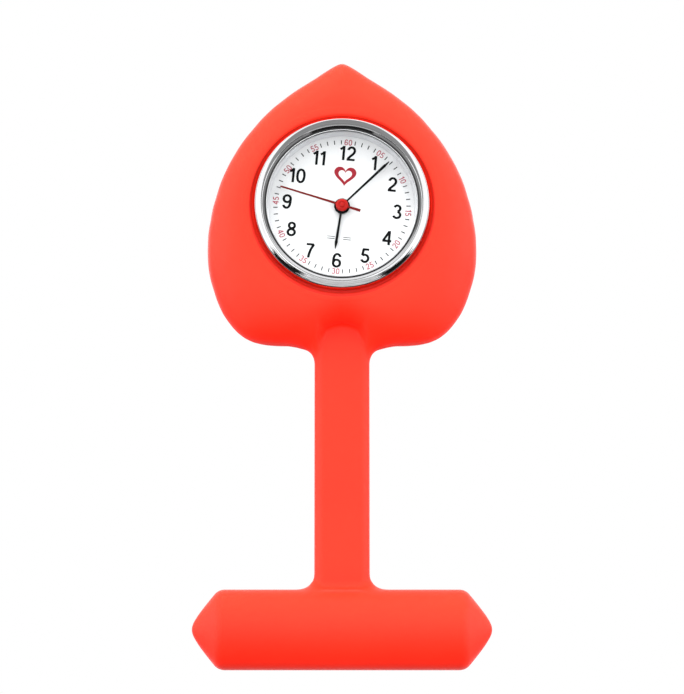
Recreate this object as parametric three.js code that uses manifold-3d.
// Nurse's fob watch: a round quartz watch in a soft, inverted-heart silicone holder. A flat strap
// runs down from it to a silicone T-bar, with a brooch pin and turning lock in the bar's back.
// Millimetres, +Z up, dial facing -Y, back towards +Y.
// Origin: middle of the bounding box in X and Y, lowest point in Z.
import * as THREE from 'three';
import { mergeVertices } from 'three/addons/utils/BufferGeometryUtils.js';
import Module from 'manifold-3d';

const wasm = await Module();
wasm.setup();
const { Manifold, Mesh } = wasm;

// ---------------------------------------------------------------- driving dimensions
// Holder, strap, bar and pin are measured from the bar axis; y is positive to the back.
const BAR_RADIUS = 5.75;
const BAR_HALF = 21.55;           // half length over the cone tips
const BACK_PLANE = 4.4;           // back flat of bar and holder
const FRAME_Y = -0.825;           // middle of the depth to the bar axis
const FRAME_Z = BAR_RADIUS;       // bar axis above the lowest point

const STRAP_HALF = 3.95;          // half width
const STRAP_THICK = 3.4;
const STRAP_MID_Y = 0.8;
const STRAP_RADIUS = STRAP_THICK / 2;      // rounded end at the fold
const STRAP_FRONT = STRAP_MID_Y - STRAP_RADIUS;
const STRAP_BACK = STRAP_MID_Y + STRAP_RADIUS;
const FLEX_Z = 23.5;              // line where the strap folds
const FLEX_GAP = 0.3;

const DIAL_Z = 61.57;             // watch centre
const DIAL_TURN = THREE.MathUtils.degToRad(5.5);   // watch sits turned clockwise in its holder

const PIN_X = -13.2;              // hinge
const CATCH_X = 12.5;
const PIN_Y = 6.25;

// The watch is measured from its own centre: x to 3 o'clock, y to 12, z out of the dial.
const OPENING_RADIUS = 13.2;      // front lip of the holder
const CASE_RADIUS = 13.9;
const CASE_BORE = 11.8;
const BEZEL_BORE = 11.3;
const CRYSTAL_RADIUS = 10.98;
const DIAL_RADIUS = 11.2;
const FLANGE_RADIUS = 10.56;      // visible dial
const STEM_Z = 0.6;

// hands: lengths, and angles in degrees clockwise from 12
const HOUR_LENGTH = 6.44;
const HOUR_ANGLE = 183.4;
const MINUTE_LENGTH = 9.48;
const MINUTE_TAIL = 1.1;
const MINUTE_ANGLE = 40.7;
const SECOND_LENGTH = 9.39;
const SECOND_TAIL = 2.8;
const SECOND_ANGLE = 282;

// gear modules, named after the wheel of each meshing pair
const MODULE = {
  intermediate: 0.07, second: 0.1, third: 0.09, centre: 0.085, minute: 0.12, hour: 0.1152,
};
const CANNON_TEETH = 12;
const MINUTE_TEETH = 36;

// gear centres [x, y], spaced so that each pair meets at its pitch circles
const CENTRE = [0, 0];
const INTERMEDIATE = [-2.1213, 2.1213];
const ROTOR = [INTERMEDIATE[0] - 2.1218, INTERMEDIATE[1] + 1.225];
const THIRD = [1.53, -2.65];
const MINUTE_POST = [0, -MODULE.minute * (CANNON_TEETH + MINUTE_TEETH) / 2];

const PLATE_RADIUS = 10.6;
const BRIDGE_RADIUS = 10.3;
const PIVOT_HOLE = 0.16;          // radius
const SCREW_HOLE = 0.34;          // radius
const SCREWS = [[4.2, 5.2], [-3.6, 7.6], [6.9, -2.9]];
const BATTERY = [-1.5, -6.4];
const BATTERY_RADIUS = 3.4;
const COIL_X = -7.6;
const COIL_Z = 0.27;

const RING_SEGMENTS = 32;
const HOLDER_SEGMENTS = 60;

// ---------------------------------------------------------------- finishes
const FINISH = {
  silicone: { color: 0xff3c28, roughness: 0.55 },
  steel: { color: 0xc8cacc, roughness: 0.3, metalness: 1 },
  chrome: { color: 0xe8e8ea, roughness: 0.08, metalness: 1 },
  brass: { color: 0xc8a24a, roughness: 0.35, metalness: 1 },
  glass: { color: 0xf4f8fa, roughness: 0.03, metalness: 0, transparent: true, opacity: 0.25 },
  backGasket: { color: 0x1a1a1a, roughness: 0.7 },
  crystalGasket: { color: 0x20201f, roughness: 0.6 },
  flange: { color: 0xd4d6d8, roughness: 0.35, metalness: 0.6 },
  dial: { color: 0xf6f6f4, roughness: 0.5 },
  blackHand: { color: 0x101010, roughness: 0.35 },
  redHand: { color: 0xd8201a, roughness: 0.35 },
  holderRing: { color: 0xe9e6dc, roughness: 0.6 },
  mainPlate: { color: 0x6d6a60, roughness: 0.5 },
  rotor: { color: 0x5b5d61, roughness: 0.35, metalness: 0.8 },
  copper: { color: 0xb5602c, roughness: 0.35, metalness: 0.7 },
  board: { color: 0x1f6a3a, roughness: 0.5 },
  chip: { color: 0x151515, roughness: 0.4 },
};

// ---------------------------------------------------------------- outlines
const polar = (radius, angle, x = 0, y = 0) =>
  [x + radius * Math.cos(angle), y + radius * Math.sin(angle)];
const around = (middle, half) => [middle - half, middle + half];

// count + 1 points from one angle to another
const arc = (radius, from, to, count, [x, y] = CENTRE) => Array.from(
  { length: count + 1 }, (_, i) => polar(radius, from + (to - from) * i / count, x, y));
const circle = (radius, count, centre) =>
  arc(radius, 0, 2 * Math.PI, count, centre).slice(0, -1);

// closes a right half outline with its mirror image in x
const mirrored = (half) =>
  [...half, ...half.filter(([x]) => x > 0).reverse().map(([x, y]) => [-x, y])];

// one point at each tip and one at each root; phase in tooth pitches
function toothed(teeth, tipRadius, rootRadius, phase = 0) {
  const angle = (step) => 2 * Math.PI * (step + phase) / teeth;
  return Array.from({ length: teeth }, (_, i) =>
    [polar(tipRadius, angle(i)), polar(rootRadius, angle(i + 0.5))]).flat();
}

// ---------------------------------------------------------------- solids
// welds vertices, drops collapsed triangles and turns the faces outwards
function weld(geometry) {
  for (const name of Object.keys(geometry.attributes)) {
    if (name !== 'position') geometry.deleteAttribute(name);
  }
  const welded = mergeVertices(geometry, 1e-4);
  const corner = (index) =>
    new THREE.Vector3().fromBufferAttribute(welded.attributes.position, index);
  const triangles = [];
  let volume = 0;
  for (let i = 0; i < welded.index.count; i += 3) {
    const [a, b, c] = welded.index.array.slice(i, i + 3);
    if (a === b || b === c || a === c) continue;
    triangles.push([a, b, c]);
    volume += corner(a).dot(corner(b).cross(corner(c)));
  }
  welded.setIndex(triangles.flatMap(([a, b, c]) => (volume < 0 ? [b, a, c] : [a, b, c])));
  return welded;
}

const vectors = (points) => points.map(([x, y]) => new THREE.Vector2(x, y));

// solid of revolution about +Z from a closed [radius, z] profile
function revolve(profile, segments = RING_SEGMENTS) {
  const touchesAxis = profile.some(([radius]) => radius === 0);
  const points = vectors(touchesAxis ? profile : [...profile, profile[0]]);
  return weld(new THREE.LatheGeometry(points, segments).rotateX(Math.PI / 2));
}
const disc = (radius, low, high, segments) =>
  revolve([[0, low], [radius, low], [radius, high], [0, high]], segments);
const ring = (inner, outer, low, high, segments) =>
  revolve([[inner, low], [outer, low], [outer, high], [inner, high]], segments);
const moved = (geometry, [x, y]) => geometry.translate(x, y, 0);
const rod = (centre, radius, low, high, segments) =>
  moved(disc(radius, low, high, segments), centre);

// plate between two z levels from an XY outline, with an optional hole outline
function plate(outline, low, high, hole) {
  const shape = new THREE.Shape(vectors(outline));
  if (hole) shape.holes.push(new THREE.Path(vectors(hole).reverse()));
  const settings = { depth: high - low, bevelEnabled: false, steps: 1 };
  return weld(new THREE.ExtrudeGeometry(shape, settings).translate(0, 0, low));
}
// plate along an arc between two radii, angles in degrees
function arcPlate(inner, outer, fromDegrees, toDegrees, low, high, count) {
  const [from, to] = [fromDegrees, toDegrees].map(THREE.MathUtils.degToRad);
  const outline = [...arc(outer, from, to, count), ...arc(inner, to, from, count)];
  return plate(outline, low, high);
}
const box = ([x0, x1], [y0, y1], [z0, z1]) => weld(new THREE.BoxGeometry(x1 - x0, y1 - y0, z1 - z0)
  .translate((x0 + x1) / 2, (y0 + y1) / 2, (z0 + z1) / 2));

function gear(teeth, module, low, high, phase) {
  const pitchRadius = teeth * module / 2;
  const outline = toothed(teeth, pitchRadius + 0.8 * module, pitchRadius - 1.1 * module, phase);
  return plate(outline, low, high);
}

const alongX = (geometry) => geometry.rotateY(Math.PI / 2);     // +Z of the piece to +X
const alongY = (geometry) => geometry.rotateX(-Math.PI / 2);    // +Z of the piece to +Y
const upright = (geometry) => geometry.rotateX(Math.PI / 2);    // +Y to +Z, +Z to -Y
const onStem = (geometry) => weld(alongX(geometry).translate(0, 0, STEM_Z));

const toManifold = (geometry) => new Manifold(new Mesh({
  numProp: 3,
  vertProperties: new Float32Array(geometry.attributes.position.array),
  triVerts: new Uint32Array(geometry.index.array),
}));
function toGeometry(manifold) {
  const mesh = manifold.getMesh();
  const geometry = new THREE.BufferGeometry();
  const positions = new Float32Array(mesh.vertProperties);
  geometry.setAttribute('position', new THREE.BufferAttribute(positions, 3));
  geometry.setIndex(Array.from(mesh.triVerts));
  return geometry;
}
const join = (...parts) => toGeometry(parts.map(toManifold).reduce((sum, part) => sum.add(part)));
const cut = (body, ...tools) => toGeometry(
  tools.map(toManifold).reduce((rest, tool) => rest.subtract(tool), toManifold(body)));
const common = (a, b) => toGeometry(toManifold(a).intersect(toManifold(b)));

// ---------------------------------------------------------------- assembly groups
const fob = new THREE.Group();
fob.position.set(0, FRAME_Y, FRAME_Z);
const watch = new THREE.Group();
watch.position.set(0, 0, DIAL_Z);
watch.rotation.x = Math.PI / 2;
const turned = new THREE.Group();
turned.rotation.z = -DIAL_TURN;
watch.add(turned);
fob.add(watch);

function add(group, name, geometry, finish) {
  const mesh = new THREE.Mesh(geometry, new THREE.MeshStandardMaterial(finish));
  mesh.name = name;
  group.add(mesh);
}

// ---------------------------------------------------------------- silicone holder
// right half of the holder's outline from the tip down to the strap: [x, z]
const HOLDER_OUTLINE = [
  [0, 83.72], [1.3, 83.3], [2.32, 82.75], [3.85, 81.87], [5.23, 80.98], [6.61, 80.08],
  [7.84, 79.19], [8.93, 78.3], [10.02, 77.41], [10.96, 76.51], [11.83, 75.62], [12.56, 74.73],
  [13.28, 73.84], [14.01, 72.95], [14.66, 72.05], [15.24, 71.16], [15.75, 70.27], [16.26, 69.38],
  [17.13, 67.59], [17.86, 65.81], [18.37, 64.02], [18.87, 62.24], [19.16, 60.45], [19.45, 58.67],
  [19.53, 56.88], [19.53, 55.1], [19.45, 53.76], [19.16, 51.98], [18.65, 50.19], [18.07, 48.4],
  [17.28, 46.62], [16.7, 45.73], [16.04, 44.84], [15.24, 43.94], [14.23, 43.05], [13, 42.4],
  [11.6, 41.98], [9.73, 41.72], [8, 41.62], [6.5, 41.5], [5, 41.35], [0, 41.2],
];
// outer skin: [share of the way from the lip to the outline, depth towards the dial side]
const SKIN = [
  [0, 5.5], [0.1, 5.62], [0.36, 5.15], [0.63, 4], [0.84, 2.4], [0.96, 0.7], [1, -0.9],
  [0.97, -2.8], [0.87, -4], [0.74, -BACK_PLANE],
];
// inner wall, lip behind the case to lip in front of it: [radius, depth towards the dial side]
const WALL = [
  [11.6, -BACK_PLANE], [11.1, -4], [11.1, -3.28], [12.5, -3.02], [13.35, -3.02],
  [13.97, -2.38], [13.97, 3.66], [13.3, 4.66], [12.76, 5],
];

// distance from the watch centre to the outline, where the ray at this angle leaves it
function outlineRadius(angle) {
  const [rayX, rayZ] = polar(1, angle);
  const loop = mirrored(HOLDER_OUTLINE);
  let farthest = 0;
  loop.forEach(([startX, z], i) => {
    const [endX, endZ] = loop[(i + 1) % loop.length];
    const startZ = z - DIAL_Z;
    const edgeX = endX - startX;
    const edgeZ = endZ - DIAL_Z - startZ;
    const cross = rayX * edgeZ - rayZ * edgeX;
    if (Math.abs(cross) < 1e-12) return;
    const distance = (startX * edgeZ - startZ * edgeX) / cross;
    const share = (startX * rayZ - startZ * rayX) / cross;
    if (distance > 0 && share >= -1e-9 && share <= 1 + 1e-9) {
      farthest = Math.max(farthest, distance);
    }
  });
  return farthest;
}

// the heart's section, skinned from angle to angle about the watch centre
function heart() {
  const positions = [];
  const faces = [];
  const rows = SKIN.length + WALL.length;
  for (let i = 0; i < HOLDER_SEGMENTS; i++) {
    const angle = 2 * Math.PI * i / HOLDER_SEGMENTS;
    const span = outlineRadius(angle) - OPENING_RADIUS;
    const section = [...SKIN.map(([share, depth]) => [OPENING_RADIUS + span * share, depth]), ...WALL];
    for (const [radius, depth] of section) {
      const [x, z] = polar(radius, angle);
      positions.push(x, -depth, DIAL_Z + z);
    }
    for (let k = 0; k < rows; k++) {
      const here = i * rows;
      const next = ((i + 1) % HOLDER_SEGMENTS) * rows;
      const above = (k + 1) % rows;
      faces.push(here + k, here + above, next + k, here + above, next + above, next + k);
    }
  }
  const geometry = new THREE.BufferGeometry();
  geometry.setAttribute('position', new THREE.Float32BufferAttribute(positions, 3));
  geometry.setIndex(faces);
  return weld(geometry);
}

function upperStrap() {
  const half = [                                          // [x, z]
    [STRAP_HALF, FLEX_Z - STRAP_RADIUS - 0.01], [STRAP_HALF, 36.4], [4.14, 39], [4.4, 40.1],
    [4.75, 40.9], [5.5, 41.6], [5.5, 45.4],
  ];
  const side = [                                          // [y, z]
    ...arc(STRAP_RADIUS, Math.PI, 2 * Math.PI, 12, [STRAP_MID_Y, FLEX_Z]),
    [STRAP_BACK, 46], [STRAP_FRONT, 46],
  ];
  return common(
    upright(plate(mirrored(half), -8, 8)),
    plate(side, -12, 12).rotateZ(Math.PI / 2).rotateY(Math.PI / 2));
}

// the crown pocket turns with the watch, a little below the horizontal at 3 o'clock
const crownPocket = () => alongX(disc(2.2, 12.5, 17.4, 20))
  .rotateY(DIAL_TURN)
  .translate(0, -STEM_Z, DIAL_Z);

add(fob, 'silicone_holder', cut(join(heart(), upperStrap()), crownPocket()), FINISH.silicone);

// ---------------------------------------------------------------- T-bar with the lower strap
function roundBar() {
  const half = [                                          // [radius, x]
    [0, -BAR_HALF], [0.8, -21.38], [1.45, -20.95], [2.3, -20.35], [4.9, -18.35],
    [5.45, -17.92], [BAR_RADIUS, -17.45],
  ];
  return alongX(revolve([...half, ...half.map(([radius, x]) => [radius, -x]).reverse()], 40));
}

function lowerStrap() {
  const half = [                                          // [x, z]
    [7.2, 2.6], [7.2, 5], [6, 5.85], [5.3, 6.45], [4.86, 6.95], [4.5, 7.45], [4.2, 8.1],
    [4.02, 8.9], [STRAP_HALF, 9.8], [STRAP_HALF, FLEX_Z - STRAP_RADIUS - FLEX_GAP],
  ];
  return upright(plate(mirrored(half), -STRAP_BACK, -STRAP_FRONT));
}

function siliconeBar() {
  const behindBack = box(around(0, 30), [BACK_PLANE, 12], around(0, 8));
  const pinRecess = box(around(0, 15.8), [3.68, 6], around(0, 1.9));
  return cut(join(roundBar(), lowerStrap()), behindBack, pinRecess);
}
add(fob, 'silicone_bar', siliconeBar(), FINISH.silicone);

// ---------------------------------------------------------------- brooch pin
const HINGE = [PIN_X, PIN_Y];
const EAR_RADIUS = 0.95;
const NEEDLE_HOLE = 0.46;         // radius, in the ears and the needle's loop

function pinPlate() {
  const strip = box(around(0, 15.5), [3.75, 4.35], around(0, 1.7));
  const outline = [
    [PIN_X + EAR_RADIUS, 4.2], ...arc(EAR_RADIUS, 0, Math.PI, 8, HINGE), [PIN_X - EAR_RADIUS, 4.2],
  ];
  const ear = (low, high) => plate(outline, low, high, circle(NEEDLE_HOLE, 16, HINGE));
  const holes = [0, -7, 7].map((x) => alongY(disc(0.45, 0, 5, 16)).translate(x, 0, 0));
  return cut(join(strip, ear(0.68, 1.2), ear(-1.2, -0.68)), ...holes);
}

const pinRivet = () => moved(revolve([
  [0, -1.5], [0.62, -1.5], [0.72, -1.4], [0.72, -1.24], [0.4, -1.24],
  [0.4, 1.24], [0.72, 1.24], [0.72, 1.4], [0.62, 1.5], [0, 1.5],
], 16), HINGE);

function pinNeedle() {
  const loop = plate(circle(0.92, 24, HINGE), -0.6, 0.6);
  const shaft = alongX(revolve([[0, 0], [0.36, 0], [0.36, 25.2], [0.22, 26.6], [0, 27.4]], 16));
  return cut(join(loop, moved(shaft, HINGE)), rod(HINGE, NEEDLE_HOLE, -2, 2, 16));
}

// slot that opens the catch and its lock to the back
const catchSlot = (half) => box(around(CATCH_X, 1.5), [PIN_Y, 9], around(0, half));

function pinCatch() {
  const profile = [                                       // [radius, x from the catch centre]
    [0.6, -0.95], [1.5, -0.95], [1.5, -0.65], [1.22, -0.65],
    [1.22, 0.65], [1.5, 0.65], [1.5, 0.95], [0.6, 0.95],
  ].map(([radius, x]) => [radius, CATCH_X + x]);
  const barrel = alongX(revolve(profile, 24)).translate(0, PIN_Y, 0);
  const legs = [-0.8, 0.8].map((x) => box(around(CATCH_X + x, 0.15), [4.38, 5.3], around(0, 0.9)));
  return cut(join(barrel, ...legs), catchSlot(0.5));
}

function pinLock() {
  const collar = alongX(ring(1.27, 1.7, ...around(CATCH_X, 0.6), 24)).translate(0, PIN_Y, 0);
  const tab = box(around(CATCH_X, 0.3), around(PIN_Y, 0.25), [-2.6, -1.5]);
  return cut(join(collar, tab), catchSlot(0.52));
}

add(fob, 'pin_plate', pinPlate(), FINISH.steel);
add(fob, 'pin_rivet', pinRivet(), FINISH.steel);
add(fob, 'pin_needle', pinNeedle(), FINISH.steel);
add(fob, 'pin_catch', pinCatch(), FINISH.steel);
add(fob, 'pin_lock', pinLock(), FINISH.steel);

// ---------------------------------------------------------------- watch case
// profiles: [radius, z]
const CASE_PROFILE = [
  [CASE_BORE, 4.3], [CASE_BORE, -2.36], [12.46, -2.36], [12.46, -2.95], [13.3, -2.95],
  [CASE_RADIUS, -2.3], [CASE_RADIUS, 3.6], [13.2, 4.3],
];
const CASE_BACK_PROFILE = [
  [0, -2.6], [11.1, -2.6], [11.1, -1.75], [11.4, -1.75], [11.4, -2.4], [12.4, -2.4],
  [12.4, -2.85], [11.9, -2.95], [11, -3.2], [0, -3.2],
];
const BEZEL_PROFILE = [
  [11.8, 4.35], [11.8, 5.1], [BEZEL_BORE, 5.13], [BEZEL_BORE, 5.9], [11.42, 6.14], [11.7, 6.28],
  [11.98, 6.3], [12.28, 6.2], [12.52, 5.92], [12.64, 5.5], [12.68, 5.02], [13.15, 4.62],
  [13.2, 4.35],
];
const CRYSTAL_PROFILE = [
  [0, 5.1], [CRYSTAL_RADIUS, 5.1], [CRYSTAL_RADIUS, 5.98], [10.8, 6.1], [0, 6.1],
];
const FLANGE_PROFILE = [[FLANGE_RADIUS, 3.73], [11.7, 3.73], [11.7, 5.06], [10.86, 5.06]];

const tubeHole = onStem(disc(0.86, 10, 16, 20));
add(turned, 'case_body', cut(revolve(CASE_PROFILE), tubeHole), FINISH.steel);
add(turned, 'case_back', revolve(CASE_BACK_PROFILE), FINISH.steel);
add(turned, 'case_back_gasket', ring(11.45, 11.75, -2.36, -2), FINISH.backGasket);
add(turned, 'bezel', revolve(BEZEL_PROFILE), FINISH.chrome);
add(turned, 'crystal', revolve(CRYSTAL_PROFILE), FINISH.glass);
add(turned, 'crystal_gasket', ring(11.01, 11.27, 5.12, 5.94), FINISH.crystalGasket);
add(turned, 'inner_flange_ring', revolve(FLANGE_PROFILE), FINISH.flange);
add(turned, 'dial', ring(0.95, DIAL_RADIUS, 3.3, 3.7), FINISH.dial);

// ---------------------------------------------------------------- hands
// blade from the right half of its outline, pointing to 12 before it is turned: [x, y]
function blade(degrees, half, low, high) {
  return plate(mirrored(half), low, high).rotateZ(-THREE.MathUtils.degToRad(degrees));
}
const bored = (hand, radius) => cut(hand, disc(radius, 3, 6, 24));

function hourHand() {
  const half = [[0.14, 0], [0.17, 4.6], [0.2, 5.6], [0, HOUR_LENGTH]];
  return bored(join(disc(1.08, 3.95, 4.15, 32), blade(HOUR_ANGLE, half, 3.97, 4.12)), 0.83);
}
function minuteHand() {
  const half = [[0.12, -MINUTE_TAIL], [0.12, 0], [0.16, 7.4], [0.18, 8.5], [0, MINUTE_LENGTH]];
  return bored(join(disc(0.88, 4.34, 4.5, 32), blade(MINUTE_ANGLE, half, 4.35, 4.48)), 0.54);
}
function secondHand() {
  const hub = revolve([
    [0, 4.78], [0.17, 4.78], [0.17, 4.62], [0.94, 4.62], [0.94, 4.8], [0.84, 4.86], [0, 4.86],
  ], 32);
  const half = [[0.2, -SECOND_TAIL], [0.17, 0], [0.07, 4.5], [0.05, SECOND_LENGTH]];
  return join(hub, cut(blade(SECOND_ANGLE, half, 4.66, 4.78), disc(0.5, 4, 5, 16)));
}
add(turned, 'hour_hand', hourHand(), FINISH.blackHand);
add(turned, 'minute_hand', minuteHand(), FINISH.blackHand);
add(turned, 'second_hand', secondHand(), FINISH.redHand);

// ---------------------------------------------------------------- movement plates
const rods = (centres, ...size) => centres.map((centre) => rod(centre, ...size));

function mainPlate() {
  const pillars = rods(SCREWS, 0.8, -0.62, 1.6, 20);
  const post = rod(MINUTE_POST, 0.3, 2.2, 3.2, 16);
  return cut(join(disc(PLATE_RADIUS, 1.5, 2.3), ...pillars, post),
    disc(0.62, 1, 3, 24),
    ...rods([INTERMEDIATE, THIRD, ROTOR], PIVOT_HOLE, 1, 3, 12),
    ...rods(SCREWS, SCREW_HOLE, -1, 0.8, 16));
}
function trainBridge() {
  const [x, y] = BATTERY;
  return cut(disc(BRIDGE_RADIUS, -1.15, -0.66),
    rod(BATTERY, BATTERY_RADIUS + 0.35, -2, 0, 40),
    box(around(x, 3.2), [-12, y], [-2, 0]),
    ...rods([CENTRE, INTERMEDIATE, THIRD, ROTOR], PIVOT_HOLE, -2, 0, 12),
    ...rods(SCREWS, SCREW_HOLE, -2, 0, 16));
}
function bridgeScrew([x, y]) {
  const screw = revolve([
    [0, -1.46], [0.6, -1.46], [0.68, -1.38], [0.68, -1.18], [0.27, -1.18], [0.27, 0.5], [0, 0.6],
  ], 16);
  return cut(moved(screw, [x, y]), box(around(x, 1), around(y, 0.1), [-2, -1.34]));
}
const stemHole = onStem(disc(0.62, 9, 13, 20));
add(turned, 'movement_holder', cut(ring(10.75, 11.7, -1.65, 3.25), stemHole), FINISH.holderRing);
add(turned, 'main_plate', mainPlate(), FINISH.mainPlate);
add(turned, 'train_bridge', trainBridge(), FINISH.brass);
SCREWS.forEach((centre, i) => {
  add(turned, `bridge_screw_${i + 1}`, bridgeScrew(centre), FINISH.steel);
});

// ---------------------------------------------------------------- wheels
// arbor with a pivot at each end, joined to the parts fixed on it
function wheelOnArbor(centre, ...parts) {
  const arbor = revolve([
    [0, -1.1], [0.1, -1.1], [0.1, -0.6], [0.12, -0.6], [0.12, 1.44], [0.1, 1.44], [0.1, 2.2],
    [0, 2.2],
  ], 12);
  return join(...[arbor, ...parts].map((part) => moved(part, centre)));
}
const rotor = () => wheelOnArbor(ROTOR,
  gear(10, MODULE.intermediate, -0.45, -0.1, 0.25), disc(0.78, 0.3, 0.95, 24));
const intermediateWheel = () => wheelOnArbor(INTERMEDIATE,
  gear(60, MODULE.intermediate, -0.35, -0.2), gear(10, MODULE.second, 0, 0.35));
const thirdWheel = () => wheelOnArbor(THIRD,
  gear(60, MODULE.third, 0.55, 0.73), gear(8, MODULE.centre, 1, 1.4));
const secondWheel = () => join(
  revolve([[0, -1.1], [0.1, -1.1], [0.1, -0.6], [0.14, -0.6], [0.14, 4.74], [0, 4.74]], 12),
  gear(50, MODULE.second, 0.1, 0.25, 0.25),
  gear(8, MODULE.third, 0.4, 0.86, 0.3));
const centreWheel = () => cut(
  join(gear(64, MODULE.centre, 1.1, 1.28), gear(CANNON_TEETH, MODULE.minute, 2.42, 2.75),
    disc(0.5, 1.04, 4.5, 24)),
  disc(0.28, 0, 6, 16));
const minuteWheel = () => cut(
  join(moved(gear(MINUTE_TEETH, MODULE.minute, 2.46, 2.64, 0.25), MINUTE_POST),
    moved(gear(10, MODULE.hour, 2.6, 3.1), MINUTE_POST)),
  rod(MINUTE_POST, 0.34, 2, 4, 20));
const hourWheel = () => cut(
  join(gear(40, MODULE.hour, 2.8, 2.96), disc(0.79, 2.79, 4.15, 24)),
  disc(0.56, 2, 6, 24));

add(turned, 'rotor', rotor(), FINISH.rotor);
add(turned, 'intermediate_wheel', intermediateWheel(), FINISH.brass);
add(turned, 'third_wheel', thirdWheel(), FINISH.brass);
add(turned, 'second_wheel', secondWheel(), FINISH.brass);
add(turned, 'centre_wheel', centreWheel(), FINISH.brass);
add(turned, 'minute_wheel', minuteWheel(), FINISH.brass);
add(turned, 'hour_wheel', hourWheel(), FINISH.brass);
add(turned, 'dial_washer', ring(0.9, 1.5, 3.04, 3.12, 24), FINISH.brass);

// ---------------------------------------------------------------- motor and electronics
function stator() {
  const [x, y] = ROTOR;
  const outline = [
    [x + 1.55, y - 0.9], [x + 1.7, y + 0.4], [x + 0.9, y + 1.5], [x - 0.4, y + 1.75],
    [-6.3, 4.75], [-8.2, 4.75], [-8.2, 3.45], [-6.1, 3.35], [-6.1, 2.6], [-6.2, -3.3],
    [-8.2, -3.45], [-8.2, -4.75], [-5.4, -4.75], [-4.7, -3.6], [-4.4, 1.2], [x + 0.9, y - 1.5],
  ];
  return plate(outline, 0.42, 0.8, circle(1, 24, ROTOR));
}
function coilCore() {
  const bar = (halfWidth, ySpan) => box(around(COIL_X, halfWidth), ySpan, around(COIL_Z, 0.11));
  return join(bar(0.4, [-4.7, -3.15]), bar(0.4, [3.15, 4.7]), bar(0.25, around(0, 3.3)));
}
const coilWinding = () => cut(
  alongY(disc(0.86, -3.1, 3.1, 24)).translate(COIL_X, 0, COIL_Z),
  box(around(COIL_X, 0.35), around(0, 4), around(COIL_Z, 0.17)));
const quartzCan = () => alongX(disc(0.74, -2.5, 2.5, 20))
  .rotateZ(THREE.MathUtils.degToRad(41))
  .translate(5.6, -6.4, 0.45);
const battery = () => moved(revolve([
  [0, -2.52], [3, -2.52], [BATTERY_RADIUS, -2.2], [BATTERY_RADIUS, -0.62], [3.1, -0.42],
  [0, -0.42],
], 40), BATTERY);
const MINUS_CONTACT = [                                   // [x, y]
  [-1.2, -5.4], [-2.2, -5.4], [-6.4, -4.4], [-6.6, -5.2], [-2.4, -6.9], [-1.2, -6.9],
];
const plusContact = () => moved(
  arcPlate(BATTERY_RADIUS + 0.06, BATTERY_RADIUS + 0.26, 50, 125, -2.3, -0.5, 14), BATTERY);

add(turned, 'stator', stator(), FINISH.steel);
add(turned, 'coil_core', coilCore(), FINISH.steel);
add(turned, 'coil_winding', coilWinding(), FINISH.copper);
add(turned, 'circuit_board', arcPlate(7, 10.2, 125, 218, -1.5, -1.2, 20), FINISH.board);
add(turned, 'driver_chip', box([-9.4, -7.6], [0.7, 2.4], [-1.98, -1.53]), FINISH.chip);
add(turned, 'quartz_crystal', quartzCan(), FINISH.steel);
add(turned, 'battery', battery(), FINISH.steel);
add(turned, 'battery_contact_minus', plate(MINUS_CONTACT, -0.36, -0.22), FINISH.brass);
add(turned, 'battery_contact_plus', plusContact(), FINISH.brass);

// ---------------------------------------------------------------- winding stem and crown
const STEM_PROFILE = [                                    // [radius, x]
  [0, 4.7], [0.25, 4.7], [0.25, 5.5], [0.4, 5.6], [0.4, 9], [0.28, 9.1], [0.28, 9.6],
  [0.4, 9.7], [0.4, 15.5], [0, 15.5],
];
const SETTING_LEVER = [                                   // [x, y]
  [5.1, 0.55], [5.5, 0.55], [5.8, 2], [7.8, 2.2], [7.8, 2.9], [5.2, 2.9],
];
const clutchPinion = () => cut(
  onStem(join(gear(12, 0.125, 6, 6.5), disc(0.66, 6.4, 7.4, 20))),
  onStem(disc(0.46, 5, 8, 20)));
function crown() {
  const grip = plate(toothed(24, 1.9, 1.72), 14.35, 15.8);
  const cap = disc(1.55, 15.6, 16.05, 24);
  return onStem(cut(join(grip, cap), disc(0.95, 14, 15, 20), disc(0.43, 14, 15.6, 20)));
}
add(turned, 'setting_stem', onStem(revolve(STEM_PROFILE, 16)), FINISH.steel);
add(turned, 'clutch_pinion', clutchPinion(), FINISH.steel);
add(turned, 'crown_tube', onStem(ring(0.46, 0.8, 11.85, 14.85, 20)), FINISH.steel);
add(turned, 'crown', crown(), FINISH.chrome);
add(turned, 'setting_lever', plate(SETTING_LEVER, 0.5, 0.68), FINISH.steel);

export default fob;
